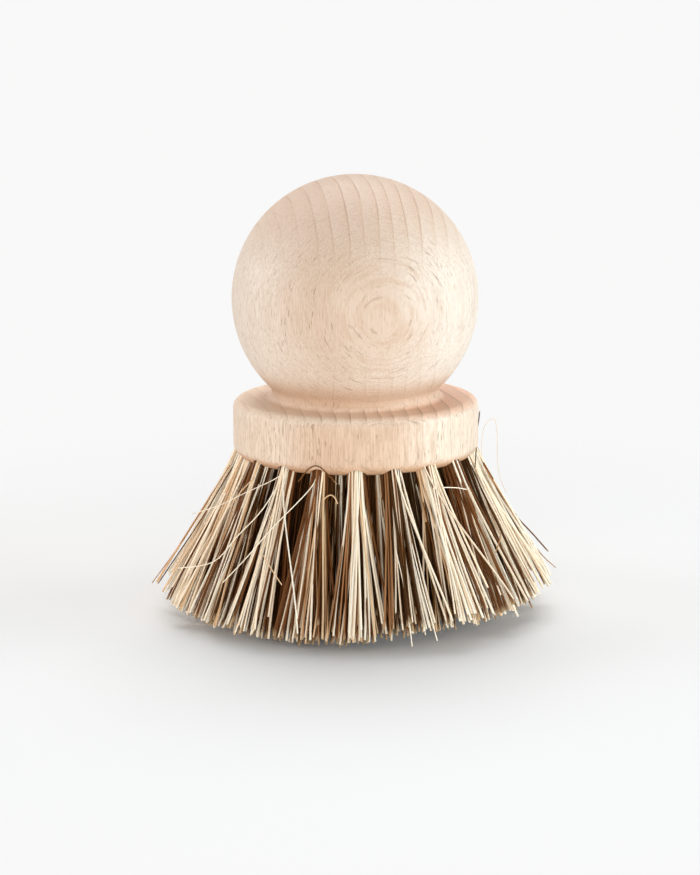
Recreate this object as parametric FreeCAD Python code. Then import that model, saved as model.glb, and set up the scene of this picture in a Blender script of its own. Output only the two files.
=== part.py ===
import FreeCAD
import Part
import math
import os

# Dish brush: a turned wooden block with a ball grip, and tufts of plant fibre set in drilled holes.
# Sizes in mm, angles in degrees. The trimmed fibre tips rest on z = 0 and the ball's pole is on top.

# Turned block
ball_diameter = 50.0
neck_diameter = 34.0
cove_radius = 1.4
head_diameter = 50.0
head_thickness = 11.6
head_top_edge_radius = 1.9
head_lower_edge_radius = 2.4

# Drilled holes, one at the centre and the others in rings around it.
# The outer ring breaks through the rounded lower edge of the head.
ring_names = ("centre", "inner", "middle", "outer")
holes_per_ring = (1, 6, 12, 20)
rim_to_outer_holes = 1.9
tilt_added_per_ring = 7.4
hole_diameter = 4.2
hole_depth = 8.0
drill_point_angle = 118.0

# Fibre tufts
fibre_length = 32.6
fibre_width = 0.5
fibre_gap = 0.2
outer_tip_rise = 5.2
tip_rise_power = 3.5
gap_between_tufts = 0.6
root_stand_out = 0.2
root_sides = 12

# Anchor staples, flat wire across the hole with the fibres folded over it
staple_width = 1.6
staple_thickness = 0.25
staple_bite = 0.4
fold_height = 0.8

# Fits
root_side_clearance = 0.05
root_end_clearance = 0.05
staple_clearance = 0.05

# Values that follow from the sizes above
ball_radius = ball_diameter / 2
neck_radius = neck_diameter / 2
head_radius = head_diameter / 2
hole_radius = hole_diameter / 2
root_radius = hole_radius - root_side_clearance
ring_total = len(ring_names) - 1
ring_pitch = (head_radius - rim_to_outer_holes) / ring_total
underside_height = fibre_length
head_top_height = underside_height + head_thickness
cove_foot_radius = neck_radius + cove_radius
cove_centre_height = head_top_height + cove_radius
ball_to_cove = ball_radius + cove_radius
ball_drop = math.sqrt(ball_to_cove ** 2 - cove_foot_radius ** 2)
ball_centre_height = cove_centre_height + ball_drop
root_top = hole_depth - root_end_clearance
staple_top = root_top - fold_height
staple_length = hole_diameter + 2 * staple_bite

origin = FreeCAD.Vector(0, 0, 0)
across = FreeCAD.Vector(0, 1, 0)
up = FreeCAD.Vector(0, 0, 1)
front_angle = -90.0


def ring_radius(ring):
    return ring * ring_pitch


def ring_tilt(ring):
    return ring * tilt_added_per_ring


def ring_turn(ring):
    # the outer ring has a hole at the front, and every second ring is turned by half its pitch
    half_pitch = 180.0 / holes_per_ring[ring]
    return front_angle + half_pitch * ((ring_total - ring) % 2)


def tip_radius(ring):
    return ring_radius(ring) + fibre_length * math.sin(math.radians(ring_tilt(ring)))


def tip_spacing(ring):
    # from a tuft's tips to those of its nearest neighbour, in its own ring or the ring inside it
    to_next = 2 * tip_radius(ring) * math.sin(math.pi / holes_per_ring[ring])
    to_inside = tip_radius(ring) - tip_radius(ring - 1)
    return min(to_next, to_inside)


fan_radius = (min(tip_spacing(ring + 1) for ring in range(ring_total)) - gap_between_tufts) / 2
flat_radius = tip_radius(1) + fan_radius
tip_reach = tip_radius(ring_total) + fan_radius


def tip_height(radius):
    # flat under the middle of the brush, then rising to the outermost fibres
    beyond = max(0.0, radius - flat_radius) / (tip_reach - flat_radius)
    return outer_tip_rise * beyond ** tip_rise_power


def in_hole(shape, ring):
    # from the hole's own frame, mouth at the origin and drilled along +z, to the ring's hole on the x axis
    placed = shape.copy()
    placed.rotate(origin, across, -ring_tilt(ring))
    placed.translate(FreeCAD.Vector(ring_radius(ring), 0, underside_height))
    return placed


def around(shape, ring):
    # one copy for each hole of the ring
    copies = []
    for place in range(holes_per_ring[ring]):
        copy = shape.copy()
        copy.rotate(origin, up, ring_turn(ring) + 360.0 * place / holes_per_ring[ring])
        copies.append(copy)
    return copies


def point(radius, height):
    return FreeCAD.Vector(radius, 0, height)


def arc(centre_radius, centre_height, radius, start, end):
    # part of a circle in the profile's plane, given by its centre and two angles from the radius axis
    def on_circle(angle):
        turn = math.radians(angle)
        across_by = radius * math.cos(turn)
        up_by = radius * math.sin(turn)
        return point(centre_radius + across_by, centre_height + up_by)

    return Part.Arc(on_circle(start), on_circle((start + end) / 2), on_circle(end)).toShape()


def line(start, end):
    return Part.LineSegment(start, end).toShape()


def turned_block():
    meeting = math.degrees(math.atan2(-ball_drop, cove_foot_radius))
    top_edge_start = head_radius - head_top_edge_radius
    top_edge_height = head_top_height - head_top_edge_radius
    lower_edge_start = head_radius - head_lower_edge_radius
    lower_edge_height = underside_height + head_lower_edge_radius
    pole = point(0, ball_centre_height + ball_radius)
    middle = point(0, underside_height)
    edges = [
        arc(0, ball_centre_height, ball_radius, 90, meeting),
        arc(cove_foot_radius, cove_centre_height, cove_radius, 180 + meeting, 270),
        line(point(cove_foot_radius, head_top_height), point(top_edge_start, head_top_height)),
        arc(top_edge_start, top_edge_height, head_top_edge_radius, 90, 0),
        line(point(head_radius, top_edge_height), point(head_radius, lower_edge_height)),
        arc(lower_edge_start, lower_edge_height, head_lower_edge_radius, 0, -90),
        line(point(lower_edge_start, underside_height), middle),
        line(middle, pole),
    ]
    profile = Part.Face(Part.Wire(Part.__sortEdges__(edges)))
    return profile.revolve(origin, up, 360)


def drilled_hole():
    # starts a hole's width outside the wood, so that a tilted hole opens fully
    start = FreeCAD.Vector(0, 0, -hole_diameter)
    bore = Part.makeCylinder(hole_radius, hole_depth + hole_diameter, start)
    point_height = hole_radius / math.tan(math.radians(drill_point_angle / 2))
    drill_point = Part.makeCone(hole_radius, 0, point_height, FreeCAD.Vector(0, 0, hole_depth))
    return bore.fuse(drill_point)


def centred_box(thickness, length, bottom, top):
    corner = FreeCAD.Vector(-thickness / 2, -length / 2, bottom)
    return Part.makeBox(thickness, length, top - bottom, corner)


def anchor_staple():
    return centred_box(staple_thickness, staple_length, staple_top - staple_width, staple_top)


def root_start(ring):
    # the bound root clears the whole mouth of its tilted hole
    return root_stand_out + hole_radius * math.tan(math.radians(ring_tilt(ring)))


def bound_root(ring):
    # the packed part of a tuft, with a slot where its staple crosses it and holds the fold down
    bottom = -root_start(ring)
    corners = []
    for side in range(root_sides + 1):
        turn = 2 * math.pi * (side + 0.5) / root_sides
        corners.append(FreeCAD.Vector(root_radius * math.cos(turn), root_radius * math.sin(turn), bottom))
    root = Part.Face(Part.makePolygon(corners)).extrude(up * (root_top - bottom))
    slot_bottom = staple_top - staple_width - staple_clearance
    slot = centred_box(staple_thickness + 2 * staple_clearance, hole_diameter, slot_bottom, staple_top)
    return in_hole(root.cut(slot), ring)


def fibre_spots():
    # staggered rows of fibres that fit inside the bound root
    pitch = fibre_width + fibre_gap
    half = fibre_width / 2
    room = root_radius * math.cos(math.pi / root_sides)
    reach = math.ceil(room / pitch)
    spots = []
    for row in range(-reach, reach + 1):
        shift = 0.5 * (row % 2)
        for column in range(-reach, reach + 1):
            outward = row * pitch
            sideways = (column + shift) * pitch
            if math.hypot(abs(outward) + half, abs(sideways) + half) <= room:
                spots.append((outward, sideways))
    return spots


def fan_spread(spots):
    # the outermost fibre's cut tip ends at the rim of the tuft's fan
    outermost = max(math.hypot(outward, sideways) for outward, sideways in spots)
    return (fan_radius - fibre_width / math.sqrt(2)) / outermost


def fibre(ring, outward, sideways, spread):
    # straight from its spot on the bound root to its flat-cut tip
    tilt = math.radians(ring_tilt(ring))
    start = root_start(ring)
    root = FreeCAD.Vector(
        ring_radius(ring) + outward * math.cos(tilt) + start * math.sin(tilt),
        sideways,
        underside_height + outward * math.sin(tilt) - start * math.cos(tilt),
    )
    tip_x = tip_radius(ring) + spread * outward
    tip_y = spread * sideways
    tip = FreeCAD.Vector(tip_x, tip_y, tip_height(math.hypot(tip_x, tip_y)))
    half = fibre_width / 2
    corners = []
    for side_x, side_y in ((-1, -1), (1, -1), (1, 1), (-1, 1), (-1, -1)):
        corners.append(tip + FreeCAD.Vector(side_x * half, side_y * half, 0))
    run = root - tip
    sunk_run = run * (1 + fibre_width / run.Length)
    return Part.Face(Part.makePolygon(corners)).extrude(sunk_run)


def tuft(ring):
    spots = fibre_spots()
    spread = fan_spread(spots)
    fibres = [fibre(ring, outward, sideways, spread) for outward, sideways in spots]
    return bound_root(ring).multiFuse(fibres).Solids[0]


def save(shape, node):
    shape.exportStep("parts/" + node + ".step")


os.makedirs("parts", exist_ok=True)
holes = []
staples = []
for ring, ring_name in enumerate(ring_names):
    holes += around(in_hole(drilled_hole(), ring), ring)
    staples += around(in_hole(anchor_staple(), ring), ring)
    ring_tufts = around(tuft(ring), ring)
    for place, ring_tuft in enumerate(ring_tufts):
        number = "_%02d" % (place + 1) if ring > 0 else ""
        save(ring_tuft, "tuft_" + ring_name + number)
save(Part.makeCompound(staples), "anchor_staples")
save(turned_block().cut(holes + staples), "handle_block")
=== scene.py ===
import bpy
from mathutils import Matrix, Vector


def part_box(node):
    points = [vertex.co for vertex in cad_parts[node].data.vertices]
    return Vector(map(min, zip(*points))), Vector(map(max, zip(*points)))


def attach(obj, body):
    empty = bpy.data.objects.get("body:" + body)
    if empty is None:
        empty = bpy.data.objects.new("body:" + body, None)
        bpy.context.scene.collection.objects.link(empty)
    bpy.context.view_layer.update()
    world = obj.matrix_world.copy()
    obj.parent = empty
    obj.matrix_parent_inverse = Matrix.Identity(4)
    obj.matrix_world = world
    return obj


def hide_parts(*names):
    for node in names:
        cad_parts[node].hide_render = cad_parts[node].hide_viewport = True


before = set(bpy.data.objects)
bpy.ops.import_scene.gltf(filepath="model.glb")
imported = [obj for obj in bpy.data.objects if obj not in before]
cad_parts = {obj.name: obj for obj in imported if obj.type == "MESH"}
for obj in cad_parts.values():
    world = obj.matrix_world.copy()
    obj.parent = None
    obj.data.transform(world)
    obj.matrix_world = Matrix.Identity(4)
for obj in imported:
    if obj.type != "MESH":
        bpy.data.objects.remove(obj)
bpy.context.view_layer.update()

import math
import random
import bpy
from mathutils import Matrix, Vector
from mathutils.noise import noise as smoothNoise

mm = 0.001
scene = bpy.context.scene
scene.view_settings.view_transform = "Standard"
print("frame loaded:", len(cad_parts), "nodes")


# node helpers

def startMaterial(name):
    material = bpy.data.materials.new(name)
    material.use_nodes = True
    tree = material.node_tree
    return material, tree, tree.nodes["Principled BSDF"]


def plug(tree, socket, given):
    # a socket is linked, a number or colour is set
    if hasattr(given, "is_output"):
        tree.links.new(given, socket)
    elif given is not None:
        socket.default_value = given


def sums(tree, operation, first, second=None, third=None):
    node = tree.nodes.new("ShaderNodeMath")
    node.operation = operation
    for socket, given in zip(node.inputs, (first, second, third)):
        plug(tree, socket, given)
    return node.outputs[0]


def times(tree, first, second):
    return sums(tree, "MULTIPLY", first, second)


def timesPlus(tree, given, factor, base):
    return sums(tree, "MULTIPLY_ADD", given, factor, base)


def flipped(tree, given):
    return sums(tree, "SUBTRACT", 1.0, given)


def between(tree, given, low, high):
    # 0 at low, 1 at high, smooth in between, also where low is the larger one
    node = tree.nodes.new("ShaderNodeMapRange")
    node.interpolation_type = "SMOOTHSTEP"
    plug(tree, node.inputs["Value"], given)
    node.inputs["From Min"].default_value = low
    node.inputs["From Max"].default_value = high
    return node.outputs["Result"]


def blended(tree, kind, amount, first, second):
    node = tree.nodes.new("ShaderNodeMix")
    node.data_type = "RGBA"
    node.blend_type = kind
    plug(tree, node.inputs["Factor"], amount)
    plug(tree, node.inputs["A"], first)
    plug(tree, node.inputs["B"], second)
    return node.outputs["Result"]


def laidOver(tree, colour, amount, top):
    return blended(tree, "MIX", amount, colour, top)


def splitUp(tree, vector):
    node = tree.nodes.new("ShaderNodeSeparateXYZ")
    tree.links.new(vector, node.inputs[0])
    return node.outputs


def stretched(tree, vector, scale, turn=0.0, shift=(0, 0, 0)):
    node = tree.nodes.new("ShaderNodeMapping")
    plug(tree, node.inputs["Vector"], vector)
    node.inputs["Scale"].default_value = scale
    node.inputs["Rotation"].default_value = (0, 0, turn)
    node.inputs["Location"].default_value = shift
    return node.outputs["Vector"]


def cloudy(tree, vector, stretch, detail, rough=0.5, shift=(0, 0, 0)):
    node = tree.nodes.new("ShaderNodeTexNoise")
    plug(tree, node.inputs["Vector"], stretched(tree, vector, stretch, 0.0, shift))
    node.inputs["Scale"].default_value = 1.0
    node.inputs["Detail"].default_value = detail
    node.inputs["Roughness"].default_value = rough
    return node.outputs["Fac"]


def raised(tree, height, strength, depth, under=None):
    # depth in mm, on top of the bumps given as under
    node = tree.nodes.new("ShaderNodeBump")
    node.inputs["Strength"].default_value = strength
    node.inputs["Distance"].default_value = depth * mm
    plug(tree, node.inputs["Height"], height)
    plug(tree, node.inputs["Normal"], under)
    return node.outputs["Normal"]


def seenDirectly(tree):
    # 1 for what the camera sees, also in a reflection or through something clear
    path = tree.nodes.new("ShaderNodeLightPath")
    seen = sums(tree, "MAXIMUM", path.outputs["Is Camera Ray"], path.outputs["Is Glossy Ray"])
    return sums(tree, "MAXIMUM", seen, path.outputs["Is Transmission Ray"])


def showMixed(tree, amount, first, second, output):
    mixer = tree.nodes.new("ShaderNodeMixShader")
    tree.links.new(amount, mixer.inputs[0])
    tree.links.new(first.outputs[0], mixer.inputs[1])
    tree.links.new(second.outputs[0], mixer.inputs[2])
    tree.links.new(mixer.outputs[0], tree.nodes[output].inputs["Surface"])


# turned beech block: lengths in mm, a pair is the start and end of a change unless a note says otherwise

beech = {
    # faces across the growth rings, and rosier ones along them at the front and back
    "pale": (0.76, 0.635, 0.527, 1),
    "rosy": (0.635, 0.455, 0.33, 1),
    "rosyFacing": (0.75, 1.3),
    "rosyBlush": 0.4,
    # painted warm bounce light: the timber is drawn warmer towards the brush head, rosiest on its front
    # and back
    "paleLowBounce": (0.79, 0.62, 0.475, 1),
    "rosyLowBounce": (0.65, 0.425, 0.28, 1),
    "lowHeights": (56.0, 38.0),
    "lowBounceFacing": (0.78, 1.0),
    "lowBounceAmount": 0.92,
    # painted shade in the cove under the ball
    "neckShadeColour": (0.55, 0.325, 0.19, 1),
    "neckRise": (44.3, 45.2),
    "neckFall": (47.1, 51.0),
    "neckShadeAmount": 0.55,
    # end grain is darker, on top of the ball and less under the head; towards the head it is left out, as
    # painted light on the head's top where the ball shades it
    "endColour": (0.59, 0.38, 0.255, 1),
    "endUp": (0.25, 0.95),
    "endDown": (0.3, 1.0),
    "endDownShare": 0.5,
    "endAmountAndHeadLift": (-0.55, 0.55),  # change towards the head, and amount on the ball
    # painted light on the top of the head, where the ball shades it, changing across the rings
    "paintedLightRimLeft": (0.95, 0.74, 0.56, 1),
    "paintedLightRimRight": (0.95, 0.51, 0.33, 1),
    "rimChange": (-15.0, 20.0),
    "paintedRimLightAmount": 0.7,
    # painted shade on the rounded lower edge of the head, above the fibres
    "edgeShadeColour": (0.60, 0.32, 0.165, 1),
    "edgeHeights": (38.0, 36.0),
    "edgeFacing": (0.0, -0.65),
    "edgeShadeAmount": 0.9,
    # growth rings
    "ringColour": (0.40, 0.225, 0.14, 1),
    "ringSpacing": 3.0,
    "ringTurn": 13.5,  # degrees, how far the rings turn from square to the front
    "ringWander": 3.2,
    "ringBend": 0.0035,  # curve of the rings, times the square of the distance along them
    "ringShown": (0.9, 0.09),  # more on end grain, and amount elsewhere
    "ringFade": (-20.0, -2.0),  # fainter towards the first one
    "ringFadeAmount": (0.6, 0.4),  # more after the change, and amount before it
    "lateWoodPower": 1.8,
    "lateWoodAmount": 0.65,
    "lineRise": (0.86, 0.95),  # share of a ring
    "lineFall": (0.965, 0.995),
    "lineBreaks": (0.36, 0.6),
    "lineAmount": 0.7,
    # rays: the three sizes of a fleck, and how far it swerves
    "fleck": (0.35, 0.2, 0.12, 1),
    "rayLong": 8.0,
    "rayThin": 0.2,
    "rayTall": 2.2,
    "rayWander": 0.4,
    "rayRange": (0.65, 0.75),
    "rayMoreLow": 0.025,
    "rayFlat": (0.86, 1.0),  # facing where a ray is cut along its face
    "rayDark": (-0.3, 0.68),  # change where it is cut along, and amount where it is cut across
    "rayOnEnd": (-0.75, 1.0),  # change on end grain, and amount elsewhere
    "sheenRange": (0.48, 0.62),
    "sheenFacing": (0.8, 0.98),
    "sheenAmount": (0.4, 0.12),  # more where a ray is cut along, and amount elsewhere
    # fine streaks and pores along the grain
    "streakPale": (1.09, 1.115, 1.14, 1),
    "streakDark": (0.91, 0.875, 0.83, 1),
    "streakRange": (0.36, 0.64),
    "streakAmount": (-0.35, 0.65),  # change where a ray is cut along, and amount elsewhere
    "poreRange": (0.56, 0.74),
    "poreAmount": 0.62,
    "poreRough": 0.12,
    "roughness": 0.52,
    "specular": 0.5,
    # bumps: strength and depth
    "poreBump": (0.25, 0.05),
    "rayBump": (0.3, 0.05),
    "latheBump": (0.12, 0.08),
    # noise: stretch across the rings, along them and up, then detail, roughness and shift
    "wanderCloud": ((0.11, 0.03, 0.012), 2.0),
    "breakCloud": ((0.3, 0.16, 0.1), 2.0),
    "swerveCloud": ((0.2, 0.05, 0.16), 2.0, 0.5, (3, 1, 5)),
    "rayCloud": ((1, 1, 1), 1.0, 0.4),
    "sheenCloud": ((1.1, 0.5, 0.4), 2.0, 0.5, (7, 3, 1)),
    "poreCloud": ((5.5, 5.5, 0.42), 2.0, 0.6),
    "streakCloud": ((3.6, 3.6, 0.2), 3.0, 0.65, (2, 6, 4)),
    "blushCloud": ((0.13, 0.09, 0.05), 3.0, 0.55),
    "latheCloud": ((0.02, 0.02, 3.2), 2.0, 0.6),
}


def readGrain(tree):
    # where a point is in the timber, in mm, and which way its face looks
    block = tree.nodes.new("ShaderNodeTexCoord").outputs["Object"]
    turn = -math.radians(beech["ringTurn"])
    grain = stretched(tree, block, (1 / mm, 1 / mm, 1 / mm), turn)
    place = splitUp(tree, grain)
    surface = tree.nodes.new("ShaderNodeNewGeometry").outputs["Normal"]
    facing = splitUp(tree, surface)
    turnedFacing = splitUp(tree, stretched(tree, surface, (1, 1, 1), turn))
    onTop = between(tree, facing["Z"], *beech["endUp"])
    below = between(tree, times(tree, facing["Z"], -1.0), *beech["endDown"])
    poleFacing = sums(tree, "ABSOLUTE", turnedFacing["Y"])
    return {
        "grain": grain,
        "across": place["X"],
        "along": place["Y"],
        "height": place["Z"],
        "upward": facing["Z"],
        "frontFacing": sums(tree, "ABSOLUTE", facing["Y"]),
        "poleFacing": poleFacing,
        "rayFlat": between(tree, poleFacing, *beech["rayFlat"]),
        "onTop": onTop,
        "endGrain": timesPlus(tree, below, beech["endDownShare"], onTop),
        "lowDown": between(tree, place["Z"], *beech["lowHeights"]),
    }


def drawRings(tree, wood):
    # growth rings: slow darkening and then a sharp line
    wander = cloudy(tree, wood["grain"], *beech["wanderCloud"])
    bend = times(tree, sums(tree, "POWER", wood["along"], 2.0), beech["ringBend"])
    ringPlace = sums(tree, "ADD", wood["across"], bend)
    ringPlace = timesPlus(tree, wander, beech["ringWander"], ringPlace)
    inRing = sums(tree, "FRACT", sums(tree, "DIVIDE", ringPlace, beech["ringSpacing"]))
    lateWood = sums(tree, "POWER", inRing, beech["lateWoodPower"])
    lineRise = between(tree, inRing, *beech["lineRise"])
    lineFall = flipped(tree, between(tree, inRing, *beech["lineFall"]))
    line = times(tree, lineRise, lineFall)
    breaks = between(tree, cloudy(tree, wood["grain"], *beech["breakCloud"]), *beech["lineBreaks"])
    shown = timesPlus(tree, wood["endGrain"], *beech["ringShown"])
    fade = between(tree, wood["across"], *beech["ringFade"])
    shown = times(tree, shown, timesPlus(tree, fade, *beech["ringFadeAmount"]))
    wood["lateWood"] = times(tree, lateWood, shown)
    wood["ringLine"] = times(tree, times(tree, line, shown), breaks)


def drawRays(tree, wood):
    # thin ribbons that lie across the rings and stand up along the grain
    swerve = cloudy(tree, wood["grain"], *beech["swerveCloud"])
    swerving = tree.nodes.new("ShaderNodeCombineXYZ")
    plug(tree, swerving.inputs["X"], wood["across"])
    plug(tree, swerving.inputs["Y"], timesPlus(tree, swerve, beech["rayWander"], wood["along"]))
    plug(tree, swerving.inputs["Z"], wood["height"])
    rayScale = (1 / beech["rayLong"], 1 / beech["rayThin"], 1 / beech["rayTall"])
    raySpace = stretched(tree, swerving.outputs["Vector"], rayScale)
    rayCloud = cloudy(tree, raySpace, *beech["rayCloud"])
    rayCloud = timesPlus(tree, wood["lowDown"], beech["rayMoreLow"], rayCloud)
    wood["rays"] = between(tree, rayCloud, *beech["rayRange"])
    sheenCloud = cloudy(tree, raySpace, *beech["sheenCloud"])
    wood["sheen"] = between(tree, sheenCloud, *beech["sheenRange"])


def colourTimberAndLight(tree, wood):
    # the timber's colours from the ball down to the head's lower edge, with painted warm bounce light
    # towards the head, painted shade in the neck and on the lower edge, and painted light on the head's
    # top
    lowDown = wood["lowDown"]
    # painted warm bounce light: paler timber drawn warmer towards the head
    colour = laidOver(tree, beech["pale"], lowDown, beech["paleLowBounce"])
    blush = cloudy(tree, wood["grain"], *beech["blushCloud"])
    flatGrain = timesPlus(tree, blush, beech["rosyBlush"], wood["frontFacing"])
    flatGrain = between(tree, flatGrain, *beech["rosyFacing"])
    flatGrain = times(tree, flatGrain, flipped(tree, lowDown))
    colour = laidOver(tree, colour, flatGrain, beech["rosy"])
    # painted warm bounce light: rosier on the head's front and back
    lowFrontBounce = times(tree, lowDown, between(tree, wood["frontFacing"], *beech["lowBounceFacing"]))
    colour = laidOver(tree, colour, times(tree, lowFrontBounce, beech["lowBounceAmount"]), beech["rosyLowBounce"])
    # painted shade in the neck under the ball
    neckShade = flipped(tree, between(tree, wood["height"], *beech["neckFall"]))
    neckShade = times(tree, neckShade, between(tree, wood["height"], *beech["neckRise"]))
    colour = laidOver(tree, colour, times(tree, neckShade, beech["neckShadeAmount"]), beech["neckShadeColour"])
    # darker end grain on the ball, left out towards the head as painted light on the head's top
    endGrainAndHeadLift = times(tree, wood["endGrain"], timesPlus(tree, lowDown, *beech["endAmountAndHeadLift"]))
    colour = laidOver(tree, colour, endGrainAndHeadLift, beech["endColour"])
    # painted light on the head's top, in the ball's shade
    paintedRimLit = times(tree, wood["onTop"], lowDown)
    rimChange = between(tree, wood["across"], *beech["rimChange"])
    paintedRimLight = laidOver(tree, beech["paintedLightRimLeft"], rimChange, beech["paintedLightRimRight"])
    colour = laidOver(tree, colour, times(tree, paintedRimLit, beech["paintedRimLightAmount"]), paintedRimLight)
    # painted shade on the head's rounded lower edge
    lowest = between(tree, wood["height"], *beech["edgeHeights"])
    edgeShade = times(tree, lowest, between(tree, wood["upward"], *beech["edgeFacing"]))
    return laidOver(tree, colour, times(tree, edgeShade, beech["edgeShadeAmount"]), beech["edgeShadeColour"])


def drawGrain(tree, wood, colour):
    # rings, ray sheen, streaks, ray flecks and pores over the timber's colour
    lateWood = times(tree, wood["lateWood"], beech["lateWoodAmount"])
    colour = laidOver(tree, colour, lateWood, beech["endColour"])
    ringLine = times(tree, wood["ringLine"], beech["lineAmount"])
    colour = laidOver(tree, colour, ringLine, beech["ringColour"])
    sheenFacing = between(tree, wood["poleFacing"], *beech["sheenFacing"])
    sheen = times(tree, wood["sheen"], timesPlus(tree, sheenFacing, *beech["sheenAmount"]))
    colour = laidOver(tree, colour, sheen, beech["endColour"])
    streaks = between(tree, cloudy(tree, wood["grain"], *beech["streakCloud"]), *beech["streakRange"])
    streakTint = laidOver(tree, beech["streakPale"], streaks, beech["streakDark"])
    streakShown = timesPlus(tree, wood["rayFlat"], *beech["streakAmount"])
    streakShown = sums(tree, "MAXIMUM", streakShown, wood["lowDown"])
    colour = blended(tree, "MULTIPLY", streakShown, colour, streakTint)
    # a ray that is cut along its face is a faint patch, and one that is cut across is a dark dash
    rayDark = timesPlus(tree, wood["rayFlat"], *beech["rayDark"])
    rayDark = times(tree, rayDark, timesPlus(tree, wood["endGrain"], *beech["rayOnEnd"]))
    colour = laidOver(tree, colour, times(tree, wood["rays"], rayDark), beech["fleck"])
    return laidOver(tree, colour, times(tree, wood["pores"], beech["poreAmount"]), beech["ringColour"])


def makeBeech():
    material, tree, shader = startMaterial("turnedBeech")
    wood = readGrain(tree)
    drawRings(tree, wood)
    drawRays(tree, wood)
    wood["pores"] = between(tree, cloudy(tree, wood["grain"], *beech["poreCloud"]), *beech["poreRange"])
    colour = drawGrain(tree, wood, colourTimberAndLight(tree, wood))
    plug(tree, shader.inputs["Base Color"], colour)
    rough = timesPlus(tree, wood["pores"], beech["poreRough"], beech["roughness"])
    plug(tree, shader.inputs["Roughness"], rough)
    shader.inputs["Specular IOR Level"].default_value = beech["specular"]
    lathe = cloudy(tree, wood["grain"], *beech["latheCloud"])
    bumps = raised(tree, flipped(tree, wood["pores"]), *beech["poreBump"])
    bumps = raised(tree, flipped(tree, wood["rays"]), *beech["rayBump"], bumps)
    bumps = raised(tree, lathe, *beech["latheBump"], bumps)
    plug(tree, shader.inputs["Normal"], bumps)
    return material


def dressBlock():
    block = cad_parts["handle_block"]
    block.data.materials.clear()
    block.data.materials.append(makeBeech())
    for face in block.data.polygons:
        face.use_smooth = True


dressBlock()
print("beech block dressed")


# anchor staples in the holes

stapleWire = {
    "colour": (0.62, 0.61, 0.58, 1),
    "dull": (0.42, 0.41, 0.39, 1),
    "dullRange": (0.35, 0.7),
    "drawnCloud": ((6000, 6000, 1500), 3.0),  # stretch and detail
    "roughness": 0.34,
    "roughChange": 0.2,
    "bump": (0.2, 0.01),  # strength, and depth in mm
}


def dressStaples():
    material, tree, shader = startMaterial("stapleWire")
    place = tree.nodes.new("ShaderNodeTexCoord").outputs["Object"]
    drawn = cloudy(tree, place, *stapleWire["drawnCloud"])
    dull = between(tree, drawn, *stapleWire["dullRange"])
    colour = laidOver(tree, stapleWire["colour"], dull, stapleWire["dull"])
    plug(tree, shader.inputs["Base Color"], colour)
    shader.inputs["Metallic"].default_value = 1.0
    rough = timesPlus(tree, drawn, stapleWire["roughChange"], stapleWire["roughness"])
    plug(tree, shader.inputs["Roughness"], rough)
    plug(tree, shader.inputs["Normal"], raised(tree, drawn, *stapleWire["bump"]))
    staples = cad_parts["anchor_staples"]
    staples.data.materials.clear()
    staples.data.materials.append(material)


dressStaples()
print("staples dressed")


# plant fibre tufts, lengths in mm

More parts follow.
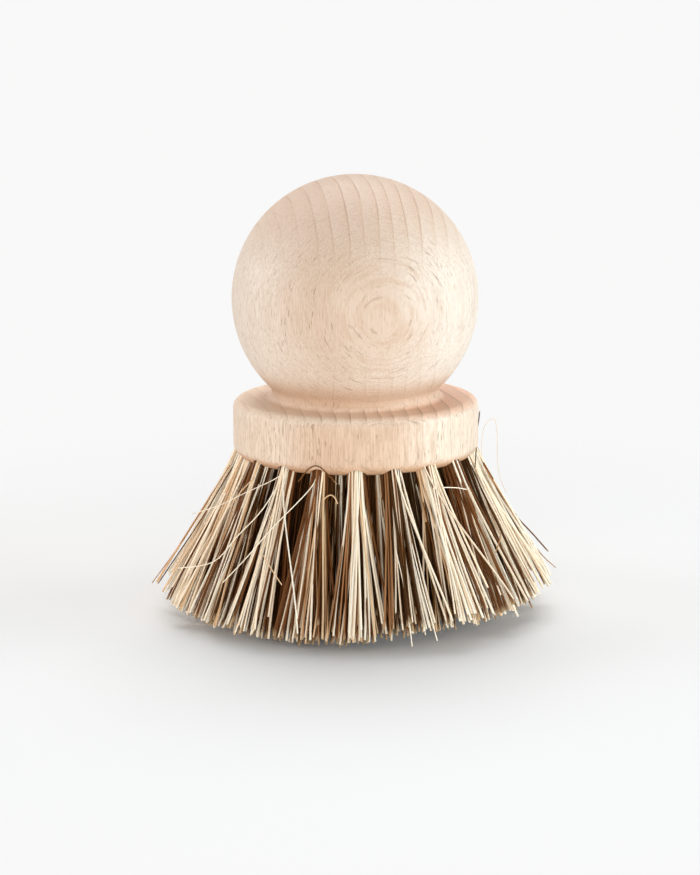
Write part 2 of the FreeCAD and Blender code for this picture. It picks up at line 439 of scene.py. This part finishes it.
fibreHead = {
    "underside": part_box("handle_block")[0][2] / mm,
    "ringNames": ("centre", "inner", "middle", "outer"),
    "tuftsPerRing": (1, 6, 12, 20),
    "fibresPerTuft": (70, 70, 84, 64),
    "frontTurn": -90,  # degrees, where each ring starts
    "halfTurned": "middle",  # this ring is turned by half its pitch
    "seedStep": 1000,  # between the rings, for the dice of each tuft
    "ringPitch": 7.7,
    "tiltPerRing": 7.4,  # degrees
    "holeRadius": 2.1,
    "holeWall": 0.3,  # left free around the packed fibres
    "holeInside": 3.0,  # how far a fibre is modelled into its hole
    "sunflowerTurn": 2.39996,  # radians from one fibre's spot in the hole to the next
    "spotJitter": 0.3,
    # tips and trim
    "length": 32.6,
    "flatRadius": 17.1,  # tips inside this are trimmed level
    "tipReach": 40.6,
    "reachLoose": 1.5,  # a tip past the reach is drawn back to it, and by up to this much more
    "outerRise": 5.2,
    "risePower": 4.5,
    "rightLift": 1.8,  # the trim is higher on the right
    "rightLiftFull": 10.0,
    "trimLoose": (0.1, 0.4),  # mean and spread
    "lowestTip": 0.05,
    "fan": 5.9,  # half the width of a tuft at its tips
    "fanOut": 0.58,  # share of the fan that follows a fibre's place in its hole, outwards and sideways
    "fanAside": 0.8,
    "fanLoose": 0.32,
    "shortShare": 0.2,  # some fibres were shorter than the trim
    "shortBy": (0.5, 5.0),
    # bend: shares of the run from root to tip, and sideways bow
    "firstPull": 0.14,
    "secondPull": 0.68,
    "bow": 0.6,
    # loose fibres, which lie across their neighbours on the outside
    "looseShare": 0.035,
    "looseOut": 0.6,  # shares of the fan
    "looseAside": 1.3,
    "looseRise": (1, 4),
    "looseKinds": ("cream", "cream", "cream", "straw", "russet"),
    # where a fibre falls between the palest and the darkest kind
    "middleDraw": 0.53,
    "tuftScatter": 0.05,
    # painted shade: tufts inside the outer ring are drawn browner, and each outer tuft paler on its
    # outside and browner inside
    "insideShadeBrown": 0.38,  # the tufts inside the outer ring are browner
    "outsideLitPale": 0.36,
    "clumps": 0.55,
    "clumpScale": 1.3,
    "clumpRoom": 100,  # where in the noise a tuft may lie
    "scatter": 0.26,
    # outer tufts, counted from the front to the right: the kinds across each one from its left
    "bands": {
        1: ("tan", "straw", "cream", "cream", "russet"),
        2: ("tan", "dark", "cream", "dark", "cream", "cream"),
        3: ("straw", "cream", "cream", "tan", "cream", "cream"),
        4: ("russet", "russet", "cream", "cream"),
        5: ("dark", "russet", "cream", "cream", "cream"),
        7: ("cream", "russet", "cream", "tan", "cream"),
        8: ("dark", "cream", "straw", "dark", "russet"),
        9: ("cream", "russet", "russet", "cream", "dark"),
        10: ("russet", "straw", "cream", "dark", "cream"),
        11: ("cream", "tan", "dark", "russet", "straw"),
        12: ("dark", "russet", "cream", "cream", "tan"),
        13: ("cream", "straw", "russet", "cream", "russet", "dark"),
        14: ("russet", "cream", "cream", "russet", "straw"),
        15: ("cream", "dark", "cream", "tan", "russet"),
        17: ("cream", "russet", "cream", "straw", "cream"),
        18: ("cream", "russet", "cream", "straw", "dark"),
        19: ("cream", "dark", "cream", "cream", "russet"),
        20: ("cream", "russet", "tan", "russet", "straw", "russet"),
    },
    "bandShare": 0.7,
    "bandDepth": -0.2,  # from here to a tuft's outside
    # shade and cast of each fibre, and its paler cut end
    "shadeTop": 1.05,
    "shadeScatter": 0.1,
    "blue": (0.84, 1.1),  # from warmer to cooler
    "cutEnd": (0.46, 0.31, 0.17),  # no fibre is darker than this at its cut end
    "cutLength": 1.5,
    "sides": 6,  # of a fibre, and steps along it
    "steps": 9,
}

# from the palest to the darkest: look is 0 for the pale material and 1 for the dark one,
# thick is in mm and flat is the depth as a share of it
fibreKinds = (
    {"name": "cream", "look": 0, "share": 0.46, "colour": (1.0, 0.85, 0.65),
     "thick": (0.30, 0.56), "flat": (0.75, 1.0)},
    {"name": "straw", "look": 0, "share": 0.10, "colour": (0.80, 0.52, 0.28),
     "thick": (0.30, 0.50), "flat": (0.7, 1.0)},
    {"name": "tan", "look": 1, "share": 0.06, "colour": (0.42, 0.20, 0.085),
     "thick": (0.30, 0.46), "flat": (0.6, 0.9)},
    {"name": "russet", "look": 1, "share": 0.18, "colour": (0.17, 0.061, 0.016),
     "thick": (0.32, 0.50), "flat": (0.6, 0.95)},
    {"name": "dark", "look": 1, "share": 0.20, "colour": (0.065, 0.023, 0.003),
     "thick": (0.36, 0.52), "flat": (0.6, 0.95)},
)


def tipHeight(radius):
    # level under the middle of the brush, rising to the outermost fibres
    span = fibreHead["tipReach"] - fibreHead["flatRadius"]
    beyond = max(0.0, radius - fibreHead["flatRadius"]) / span
    return fibreHead["outerRise"] * beyond ** fibreHead["risePower"]


def kindNamed(name):
    return next(kind for kind in fibreKinds if kind["name"] == name)


def pickKind(draw):
    # a low draw is pale and a high one is dark
    for kind in fibreKinds:
        if draw < kind["share"]:
            return kind
        draw -= kind["share"]
    return fibreKinds[-1]


def pickBand(bands, aside):
    # the kind at this place across a tuft, from -1 on its left to 1 on its right
    place = int((aside + 1) / 2 * len(bands))
    return kindNamed(bands[max(0, min(place, len(bands) - 1))])


def smoothRise(given, full):
    t = max(0.0, min(1.0, given / full))
    return t * t * (3 - 2 * t)


def onCurve(start, firstPull, secondPull, finish, t):
    s = 1 - t
    leaving = start * s ** 3 + firstPull * (3 * s * s * t)
    return leaving + secondPull * (3 * s * t * t) + finish * t ** 3


def layTuft(ring, turn, bands, dice):
    # the fibres of one tuft: path points, thickness and colour of each
    tilt = math.radians(ring * fibreHead["tiltPerRing"])
    outAlong = Vector((math.sin(tilt), 0, -math.cos(tilt)))
    outward = Vector((math.cos(tilt), 0, math.sin(tilt)))
    sideways = Vector((0, 1, 0))
    mouth = Vector((ring * fibreHead["ringPitch"], 0, fibreHead["underside"]))
    tipMiddle = mouth.x + fibreHead["length"] * math.sin(tilt)
    spin = Matrix.Rotation(turn, 3, "Z")
    outermost = ring == len(fibreHead["ringNames"]) - 1
    # painted shade: browner fibres inside, paler ones on the outer ring's outside
    inside = 0.0 if outermost else fibreHead["insideShadeBrown"]
    outsideLitPale = fibreHead["outsideLitPale"] if outermost else 0.0
    tuftDraw = fibreHead["middleDraw"] + inside + dice.gauss(0.0, fibreHead["tuftScatter"])
    tuftSeed = dice.uniform(0, fibreHead["clumpRoom"])
    packed = fibreHead["holeRadius"] - fibreHead["holeWall"]
    fan = fibreHead["fan"]
    fanLoose = fibreHead["fanLoose"]
    clumpScale = fibreHead["clumpScale"]
    jitter = fibreHead["spotJitter"]
    total = fibreHead["fibresPerTuft"][ring]
    fibres = []
    for number in range(total):
        # sunflower spots fill the round hole evenly: out and aside are from -1 to 1
        spread = math.sqrt((number + 0.5) / total)
        angle = number * fibreHead["sunflowerTurn"] + dice.uniform(-jitter, jitter)
        out = spread * math.cos(angle)
        aside = spread * math.sin(angle)
        clump = smoothNoise(Vector((out * clumpScale + tuftSeed, aside * clumpScale, tuftSeed)))
        # painted shade towards a tuft's inside, painted light on its outside
        draw = tuftDraw + fibreHead["clumps"] * clump - outsideLitPale * out
        kind = pickKind(draw + dice.gauss(0, fibreHead["scatter"]))
        if bands and out > fibreHead["bandDepth"] and dice.random() < fibreHead["bandShare"]:
            kind = pickBand(bands, aside)

        root = mouth + outward * (out * packed) + sideways * (aside * packed)
        tipX = tipMiddle + fan * (fibreHead["fanOut"] * out + dice.gauss(0, fanLoose))
        tipY = fan * (fibreHead["fanAside"] * aside + dice.gauss(0, fanLoose))
        tipRadius = math.hypot(tipX, tipY)
        if tipRadius > fibreHead["tipReach"]:
            pull = (fibreHead["tipReach"] - dice.uniform(0, fibreHead["reachLoose"])) / tipRadius
            tipX *= pull
            tipY *= pull
            tipRadius *= pull
        toRight = (spin @ Vector((tipX, tipY, 0))).x
        lift = fibreHead["rightLift"] * smoothRise(toRight, fibreHead["rightLiftFull"])
        trim = tipHeight(tipRadius) + lift + dice.gauss(*fibreHead["trimLoose"])
        tip = Vector((tipX, tipY, max(fibreHead["lowestTip"], trim)))
        if outermost and dice.random() < fibreHead["looseShare"]:
            root = mouth + outward * packed + sideways * (aside * packed)
            looseAside = dice.gauss(0, fibreHead["looseAside"]) * fan
            looseHeight = tip.z + dice.uniform(*fibreHead["looseRise"])
            tip = Vector((tipMiddle + fan * fibreHead["looseOut"], looseAside, looseHeight))
            kind = kindNamed(dice.choice(fibreHead["looseKinds"]))

        run = tip - root
        anyWay = Vector([dice.gauss(0, 1) for axis in range(3)])
        bow = run.cross(anyWay).normalized() * dice.gauss(0, fibreHead["bow"])
        firstPull = root + outAlong * (fibreHead["firstPull"] * run.length) + run * fibreHead["firstPull"]
        secondPull = root + run * fibreHead["secondPull"] + bow
        short = 0.0
        if dice.random() < fibreHead["shortShare"]:
            short = dice.uniform(*fibreHead["shortBy"])
        stop = 1.0 - short / run.length
        steps = [stop * step / (fibreHead["steps"] - 1) for step in range(fibreHead["steps"])]
        steps.insert(-1, stop - fibreHead["cutLength"] / run.length)
        points = [root - outAlong * fibreHead["holeInside"]]
        points += [onCurve(root, firstPull, secondPull, tip, t) for t in steps]
        shade = min(1.0, fibreHead["shadeTop"] - abs(dice.gauss(0, fibreHead["shadeScatter"])))
        blue = dice.uniform(*fibreHead["blue"])
        cast = (1, (1 + blue) / 2, blue)
        fibres.append({
            "points": [spin @ point for point in points],
            "thick": dice.uniform(*kind["thick"]),
            "flat": dice.uniform(*kind["flat"]),
            "roll": dice.uniform(0, math.pi),
            "tint": [own * shade * part for own, part in zip(kind["colour"], cast)],
            "look": kind["look"],
        })
    return fibres


def tubeRings(fibre, sides):
    # cross sections carried along the path without twisting
    points = fibre["points"]
    half = fibre["thick"] / 2
    rings = []
    normal = None
    for index, point in enumerate(points):
        ahead = points[min(index + 1, len(points) - 1)] - points[max(index - 1, 0)]
        ahead.normalize()
        if normal is None:
            normal = ahead.orthogonal().normalized()
            normal.rotate(Matrix.Rotation(fibre["roll"], 3, ahead))
        else:
            normal = (normal - ahead * normal.dot(ahead)).normalized()
        cross = ahead.cross(normal)
        ring = []
        for side in range(sides):
            turn = 2 * math.pi * side / sides
            wide = normal * (half * math.cos(turn))
            deep = cross * (half * fibre["flat"] * math.sin(turn))
            ring.append(point + wide + deep)
        rings.append(ring)
    return rings


# the maps of a fibre: its strip in the bake map, as shares of its room there, and its step in the lay map
fibreMaps = {
    "left": 0.04,
    "wide": 0.92,
    "bottom": 0.03,
    "tall": 0.91,
    "rootCap": (0.002, 0.02),
    "tipCap": (0.955, 0.995),
    "capHalf": 0.45,
    "layStep": 3.7,
}


def fourCorners(left, right, bottom, top):
    return (left, bottom), (right, bottom), (right, top), (left, top)


def weaveFibre(woven, fibre, index, total, sides):
    # one closed tube: its sides from root to tip, then its two ends
    rings = tubeRings(fibre, sides)
    first = len(woven["corners"])
    last = len(rings) - 1
    for ring in rings:
        woven["corners"].extend(point * mm for point in ring)
    cutTint = [max(own, cut) for own, cut in zip(fibre["tint"], fibreHead["cutEnd"])]
    left = (index + fibreMaps["left"]) / total
    wide = fibreMaps["wide"] / total
    layLeft = index * fibreMaps["layStep"]
    distance = [0.0]
    for before, after in zip(fibre["points"], fibre["points"][1:]):
        distance.append(distance[-1] + (after - before).length)
    for level in range(last):
        low = first + level * sides
        high = low + sides
        bottom = fibreMaps["bottom"] + fibreMaps["tall"] * level / last
        top = fibreMaps["bottom"] + fibreMaps["tall"] * (level + 1) / last
        upperTint = cutTint if level == last - 1 else fibre["tint"]
        for side in range(sides):
            following = (side + 1) % sides
            woven["faces"].append((low + side, low + following, high + following, high + side))
            stripLeft = left + wide * side / sides
            stripRight = left + wide * (side + 1) / sides
            woven["strips"].extend(fourCorners(stripLeft, stripRight, bottom, top))
            layFrom = layLeft + side / sides
            layTo = layLeft + (side + 1) / sides
            woven["lay"].extend(fourCorners(layFrom, layTo, distance[level], distance[level + 1]))
            woven["tints"].extend([fibre["tint"]] * 2 + [upperTint] * 2)
            woven["smooth"].append(True)
            woven["looks"].append(fibre["look"])
    for level, cap in ((0, "rootCap"), (last, "tipCap")):
        order = range(sides) if level else reversed(range(sides))
        woven["faces"].append(tuple(first + level * sides + side for side in order))
        bottom, top = fibreMaps[cap]
        for side in range(sides):
            turn = 2 * math.pi * side / sides
            capAcross = left + wide * (0.5 + fibreMaps["capHalf"] * math.cos(turn))
            capUp = (bottom + top) / 2 + (top - bottom) * fibreMaps["capHalf"] * math.sin(turn)
            woven["strips"].append((capAcross, capUp))
            woven["lay"].append((layLeft, distance[level]))
            woven["tints"].append(cutTint if level else fibre["tint"])
        woven["smooth"].append(False)
        woven["looks"].append(fibre["look"])


def weaveMesh(name, fibres, sides):
    # all the fibres of a piece, with their tints, a lay map for streaks and the bake map
    parts = ("corners", "faces", "strips", "lay", "tints", "smooth", "looks")
    woven = {part: [] for part in parts}
    for index, fibre in enumerate(fibres):
        weaveFibre(woven, fibre, index, len(fibres), sides)
    mesh = bpy.data.meshes.new(name)
    mesh.from_pydata(woven["corners"], [], woven["faces"])
    mesh.polygons.foreach_set("use_smooth", woven["smooth"])
    for material in fibreMaterials:
        mesh.materials.append(material)
    mesh.polygons.foreach_set("material_index", woven["looks"])
    bakeMap = mesh.uv_layers.new(name="OFBake")
    bakeMap.data.foreach_set("uv", [value for spot in woven["strips"] for value in spot])
    layMap = mesh.uv_layers.new(name="fibreLay")
    layMap.data.foreach_set("uv", [value for spot in woven["lay"] for value in spot])
    tintLayer = mesh.color_attributes.new("fibreTint", "FLOAT_COLOR", "CORNER")
    tintLayer.data.foreach_set("color", [value for tint in woven["tints"] for value in (*tint, 1.0)])
    mesh.update()
    piece = bpy.data.objects.new(name, mesh)
    scene.collection.objects.link(piece)
    return piece


fibreLook = {
    "paleGloss": 0.6,
    "darkGloss": 0.1,
    # noise: stretch around the fibre and along it, then detail and roughness
    "streakCloud": ((5.0, 0.22, 1), 3.0, 0.6),
    "mottleCloud": ((0.9, 0.35, 1), 2.0, 0.5),
    "streakRange": (0.55, 0.9),
    "mottleRange": (0.5, 0.8),
    "mottleAmount": 0.4,
    "darker": (0.72, 0.62, 0.52, 1),
    "roughness": 0.34,
    "roughChange": 0.25,
    "bump": (0.25, 0.03),  # strength, and depth in mm
}


def makeFibreMaterial(name, gloss):
    material, tree, shader = startMaterial(name)
    tint = tree.nodes.new("ShaderNodeAttribute")
    tint.attribute_name = "fibreTint"
    ownColour = tint.outputs["Color"]
    lay = tree.nodes.new("ShaderNodeUVMap")
    lay.uv_map = "fibreLay"
    streak = cloudy(tree, lay.outputs["UV"], *fibreLook["streakCloud"])
    mottle = cloudy(tree, lay.outputs["UV"], *fibreLook["mottleCloud"])
    darker = blended(tree, "MULTIPLY", 1.0, ownColour, fibreLook["darker"])
    colour = laidOver(tree, ownColour, between(tree, streak, *fibreLook["streakRange"]), darker)
    mottled = times(tree, between(tree, mottle, *fibreLook["mottleRange"]), fibreLook["mottleAmount"])
    plug(tree, shader.inputs["Base Color"], laidOver(tree, colour, mottled, darker))
    rough = timesPlus(tree, streak, fibreLook["roughChange"], fibreLook["roughness"])
    plug(tree, shader.inputs["Roughness"], rough)
    shader.inputs["Specular IOR Level"].default_value = gloss
    plug(tree, shader.inputs["Normal"], raised(tree, streak, *fibreLook["bump"]))
    return material


def makeTufts():
    for ring, ringName in enumerate(fibreHead["ringNames"]):
        total = fibreHead["tuftsPerRing"][ring]
        stagger = 0.5 if ringName == fibreHead["halfTurned"] else 0.0
        bands = fibreHead["bands"] if ringName == "outer" else {}
        for place in range(total):
            number = "_%02d" % (place + 1) if ring else ""
            dice = random.Random(fibreHead["seedStep"] * ring + place)
            turn = math.radians(fibreHead["frontTurn"] + 360 * (place + stagger) / total)
            fibres = layTuft(ring, turn, bands.get(place + 1), dice)
            piece = weaveMesh("fibres_" + ringName + number, fibres, fibreHead["sides"])
            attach(piece, "root")
            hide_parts("tuft_" + ringName + number)


fibreMaterials = (
    makeFibreMaterial("paleFibre", fibreLook["paleGloss"]),
    makeFibreMaterial("darkFibre", fibreLook["darkGloss"]),
)
makeTufts()
print("tufts laid")


# stray fibres on the outside of the head: turn in degrees, distance from the axis and height in mm

strayLook = {"seed": 77, "steps": 5, "flat": 0.85}

strays = (
    {"kind": "russet", "thick": 0.26, "path": (
        (-116, 26.1, 31.5), (-111, 25.6, 34.3), (-106, 25.6, 34.6), (-98.5, 26.0, 31.5))},
    {"kind": "cream", "thick": 0.22, "path": (
        (-124.5, 23.8, 33.2), (-128.5, 26.5, 31.3), (-141.5, 28.5, 28.0),
        (-154.5, 30.6, 24.5), (-179, 33.6, 20.0))},
    {"kind": "straw", "thick": 0.2, "path": (
        (-140, 26.6, 31.0), (-144, 28.6, 28.0), (-147.5, 30.4, 24.5))},
    {"kind": "cream", "thick": 0.24, "path": (
        (-108.5, 23.7, 32.8), (-110.5, 27.1, 30.0), (-121.5, 31.7, 23.0),
        (-128, 34.7, 17.5), (-134.5, 37.7, 12.0))},
    {"kind": "cream", "thick": 0.24, "path": (
        (-126, 23.7, 32.8), (-129, 29.3, 26.0), (-136, 32.7, 20.5),
        (-142.5, 35.9, 15.0), (-161, 38.2, 11.4))},
    {"kind": "straw", "thick": 0.25, "path": (
        (-122, 34.5, 18.0), (-117.5, 35.7, 15.5), (-113.5, 36.8, 13.2))},
    {"kind": "cream", "thick": 0.25, "path": (
        (-52, 27.5, 29.8), (-45.5, 28.3, 29.4), (-39.5, 28.5, 28.6))},
    {"kind": "tan", "thick": 0.24, "path": (
        (-31, 33.6, 19.5), (-34.5, 34.5, 18.2), (-38, 35.0, 16.5))},
    {"kind": "russet", "thick": 0.30, "path": (
        (-8, 26.2, 31.0), (0, 32.2, 20.0), (5, 36.6, 14.5), (6, 40.0, 10.5))},
    {"kind": "tan", "thick": 0.27, "path": (
        (-12, 26.4, 31.0), (-3, 33.6, 17.5), (3, 38.2, 10.5), (6, 41.6, 7.0))},
    {"kind": "tan", "thick": 0.22, "path": (
        (-170, 26.0, 31.0), (-177, 31.4, 21.5), (-183, 37.2, 12.0), (-185, 42.6, 4.4))},
    {"kind": "dark", "thick": 0.28, "path": (
        (-164, 26.0, 31.2), (-172, 31.8, 20.0), (-179, 36.8, 11.5), (-183, 41.2, 4.6))},
    {"kind": "cream", "thick": 0.26, "path": (
        (-70.5, 32.1, 20.5), (-69.5, 36.5, 12.5), (-68, 41.4, 3.0))},
    {"kind": "cream", "thick": 0.24, "path": (
        (-76.5, 32.0, 20.0), (-75, 36.5, 11.5), (-75, 41.0, 2.2))},
    {"kind": "straw", "thick": 0.24, "path": (
        (-104, 27.8, 28.4), (-101, 27.9, 29.6), (-99, 27.9, 29.3), (-97.5, 28.2, 28.0))},
    {"kind": "straw", "thick": 0.09, "path": (
        (-3, 25.6, 31.0), (4, 26.2, 36.7), (4, 28.0, 39.0),
        (4, 29.0, 37.0), (5, 29.4, 28.2), (5, 31.0, 23.5))},
    {"kind": "dark", "thick": 0.26, "path": (
        (-24, 26.2, 31.5), (-19, 25.6, 33.6), (-17.5, 25.5, 35.0))},
    {"kind": "dark", "thick": 0.28, "path": (
        (24, 26.0, 31.2), (14, 25.5, 35.0), (6, 25.3, 38.0), (2, 25.35, 40.8))},
)


def aroundHead(turn, distance, height):
    angle = math.radians(turn)
    return Vector((distance * math.cos(angle), distance * math.sin(angle), height))


def throughPoints(path, steps):
    # a smooth line through every point of the path
    ends = [path[0] * 2 - path[1]] + path + [path[-1] * 2 - path[-2]]
    points = []
    for before, start, finish, after in zip(ends, ends[1:], ends[2:], ends[3:]):
        for step in range(steps):
            t = step / steps
            bend = (before * 2 - start * 5 + finish * 4 - after) * t ** 2
            bend += (start * 3 - before - finish * 3 + after) * t ** 3
            points.append((start * 2 + (finish - before) * t + bend) / 2)
    return points + [path[-1]]


def makeStrays():
    dice = random.Random(strayLook["seed"])
    fibres = []
    for stray in strays:
        kind = kindNamed(stray["kind"])
        path = [aroundHead(*spot) for spot in stray["path"]]
        fibres.append({
            "points": throughPoints(path, strayLook["steps"]),
            "thick": stray["thick"],
            "flat": strayLook["flat"],
            "roll": dice.uniform(0, math.pi),
            "tint": list(kind["colour"]),
            "look": kind["look"],
        })
    piece = weaveMesh("stray_fibres", fibres, fibreHead["sides"])
    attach(piece, "root")


makeStrays()
print("strays laid")


# floor, light and camera, lengths in metres

floorLook = {
    "colour": (0.87, 0.87, 0.865, 1),
    "roughness": 0.9,
    "farWhite": (0.945, 0.945, 0.943, 1),
    "farChange": (0.085, 0.21),  # away from the object the floor runs out into plain white
    "size": 6.0,
}


def makeFloor():
    half = floorLook["size"] / 2
    corners = [(-half, -half, 0), (half, -half, 0), (half, half, 0), (-half, half, 0)]
    mesh = bpy.data.meshes.new("floor")
    mesh.from_pydata(corners, [], [(0, 1, 2, 3)])
    floor = bpy.data.objects.new("floor", mesh)
    scene.collection.objects.link(floor)
    material, tree, shader = startMaterial("paleFloor")
    shader.inputs["Base Color"].default_value = floorLook["colour"]
    shader.inputs["Roughness"].default_value = floorLook["roughness"]
    shader.inputs["Specular IOR Level"].default_value = 0.0
    place = tree.nodes.new("ShaderNodeTexCoord").outputs["Object"]
    distance = tree.nodes.new("ShaderNodeVectorMath")
    distance.operation = "LENGTH"
    tree.links.new(place, distance.inputs[0])
    away = between(tree, distance.outputs["Value"], *floorLook["farChange"])
    white = tree.nodes.new("ShaderNodeEmission")
    white.inputs["Color"].default_value = floorLook["farWhite"]
    showMixed(tree, times(tree, away, seenDirectly(tree)), shader, white, "Material Output")
    mesh.materials.append(material)


roomLight = {
    "world": 0.29,
    "worldColour": (1, 1, 1, 1),
    "seenWhite": (0.938, 0.938, 0.935, 1),
    # soft suns behind the object: degrees round from straight behind, degrees up, degrees wide
    "suns": (
        {"name": "backLeftSun", "round": 30.0, "up": 56.0, "wide": 40.0, "strength": 0.60},
        {"name": "backSun", "round": -8.0, "up": 56.0, "wide": 40.0, "strength": 1.38},
    ),
    "aim": (0, 0, 0.05),
    "lampWide": 0.7,
    "lampTall": 0.2,
    "lamps": (
        {"name": "rightLamp", "place": (0.87, -0.48, 0.12), "watts": 5.2, "colour": (0.58, 0.84, 1)},
        {"name": "rightSideLamp", "place": (1.0, 0.1, 0.35), "watts": 3.2, "colour": (1, 0.96, 0.92)},
        {"name": "leftSideLamp", "place": (-1.0, 0.1, 0.28), "watts": 3.3, "colour": (1, 1, 1)},
        {"name": "frontLamp", "place": (0.0, -1.1, 0.12), "watts": 5.8, "colour": (1, 1, 1)},
    ),
}


def makeWorld():
    world = bpy.data.worlds.new("room")
    scene.world = world
    world.use_nodes = True
    tree = world.node_tree
    glow = tree.nodes["Background"]
    glow.inputs["Color"].default_value = roomLight["worldColour"]
    glow.inputs["Strength"].default_value = roomLight["world"]
    seenGlow = tree.nodes.new("ShaderNodeBackground")
    seenGlow.inputs["Color"].default_value = roomLight["seenWhite"]
    showMixed(tree, seenDirectly(tree), glow, seenGlow, "World Output")


def makeLamps():
    for sun in roomLight["suns"]:
        light = bpy.data.lights.new(sun["name"], "SUN")
        light.energy = sun["strength"]
        light.angle = math.radians(sun["wide"])
        holder = bpy.data.objects.new(sun["name"], light)
        holder.rotation_euler = (math.radians(sun["up"] - 90), 0, math.radians(sun["round"]))
        scene.collection.objects.link(holder)
    for lamp in roomLight["lamps"]:
        light = bpy.data.lights.new(lamp["name"], "AREA")
        light.shape = "RECTANGLE"
        light.size = roomLight["lampWide"]
        light.size_y = roomLight["lampTall"]
        light.energy = lamp["watts"]
        light.color = lamp["colour"]
        holder = bpy.data.objects.new(lamp["name"], light)
        holder.location = lamp["place"]
        toAim = Vector(roomLight["aim"]) - Vector(lamp["place"])
        holder.rotation_euler = toAim.to_track_quat("-Z", "Y").to_euler()
        scene.collection.objects.link(holder)


photoCamera = {
    "imageHeight": 875,
    "focalPixels": 3000.0,
    "sensor": 36.0,  # mm, on the image's long side
    "place": (-1.187 * mm, -601.57 * mm, 155.65 * mm),
    "pitch": 11.28,  # degrees below level
    "roll": 0.35,
    "nearest": 0.01,
    "furthest": 20.0,
}


def makeCamera():
    lens = bpy.data.cameras.new("photoCamera")
    lens.sensor_width = photoCamera["sensor"]
    lens.lens = photoCamera["focalPixels"] / photoCamera["imageHeight"] * photoCamera["sensor"]
    lens.clip_start = photoCamera["nearest"]
    lens.clip_end = photoCamera["furthest"]
    camera = bpy.data.objects.new("photoCamera", lens)
    lookDown = Matrix.Rotation(math.radians(90 - photoCamera["pitch"]), 4, "X")
    leanOver = Matrix.Rotation(-math.radians(photoCamera["roll"]), 4, "Z")
    camera.matrix_world = Matrix.Translation(photoCamera["place"]) @ lookDown @ leanOver
    scene.collection.objects.link(camera)
    scene.camera = camera


makeFloor()
makeWorld()
makeLamps()
makeCamera()
print("stage set")
